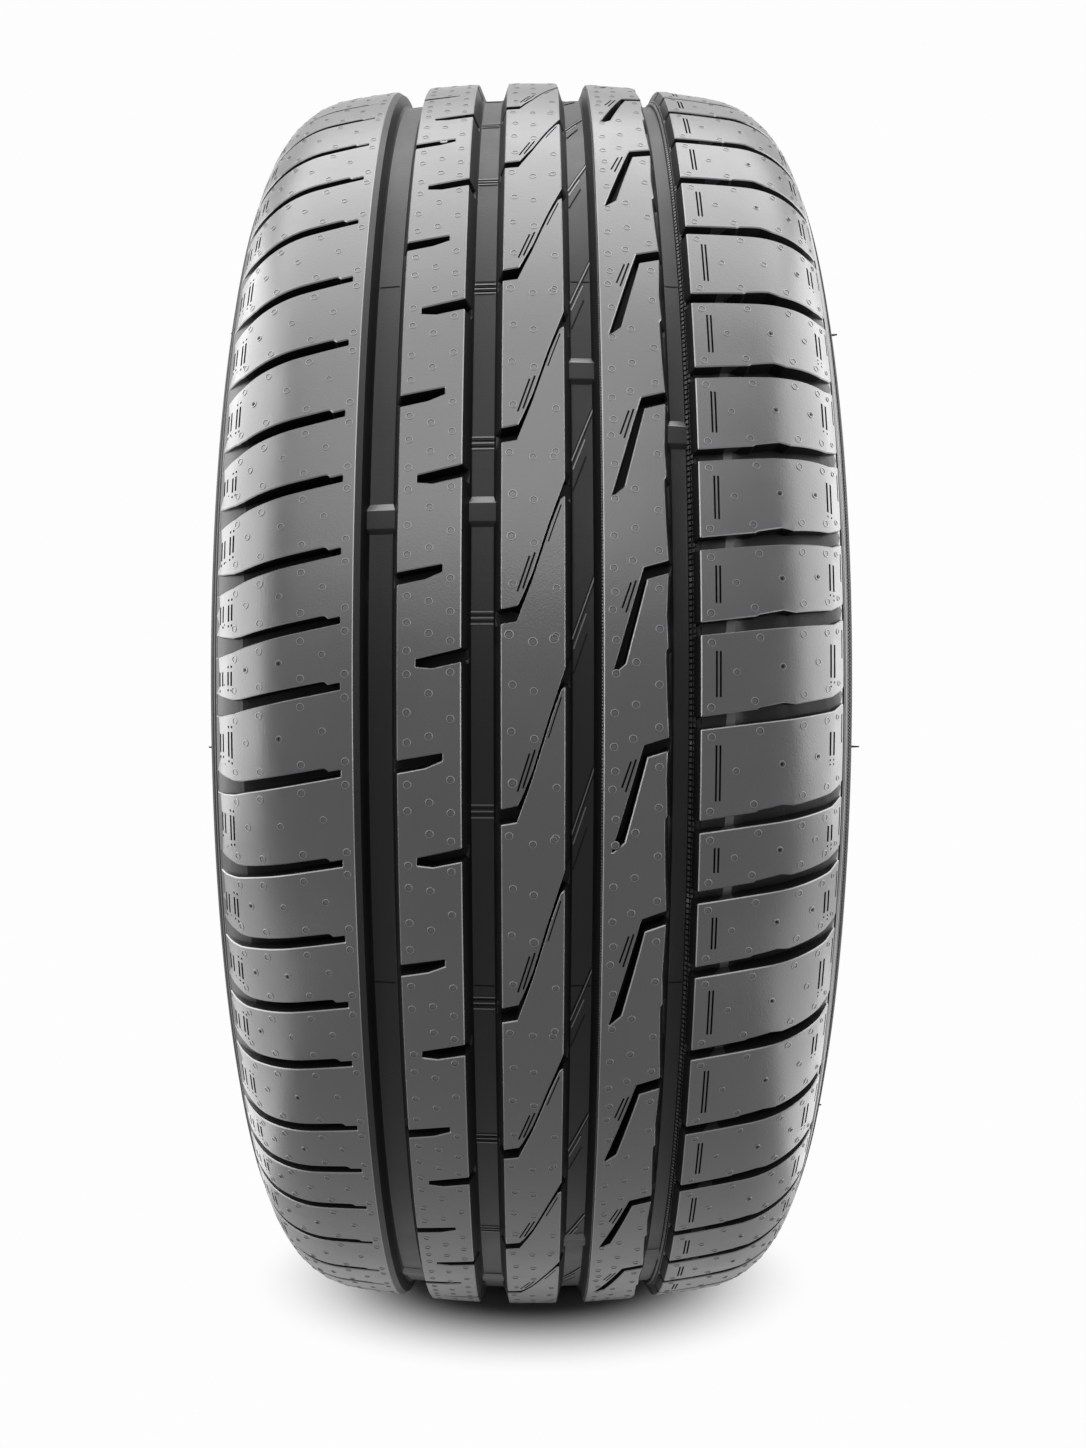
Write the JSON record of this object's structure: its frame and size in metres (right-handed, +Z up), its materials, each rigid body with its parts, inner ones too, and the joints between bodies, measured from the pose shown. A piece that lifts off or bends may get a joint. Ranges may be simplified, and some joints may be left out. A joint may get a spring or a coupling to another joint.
{
  "type": "car tyre",
  "caption": "Wide low-profile car tyre with long tread grooves, slotted ribs, ringed sidewalls and open beads.",
  "frame": {"origin": "centre of the wheel that the tyre fits, on the spin axis, midway between the beads", "axes": "+Y along the spin axis, towards the side with the narrow outer groove; +Z up, standing on the tread"},
  "size_m": [0.6606, 0.262, 0.6606],
  "materials": {
    "tyre_rubber": "matte moulded rubber"
  },
  "bodies": {
    "root": {"tyre": "tyre_rubber"}
  },
  "joints": []
}
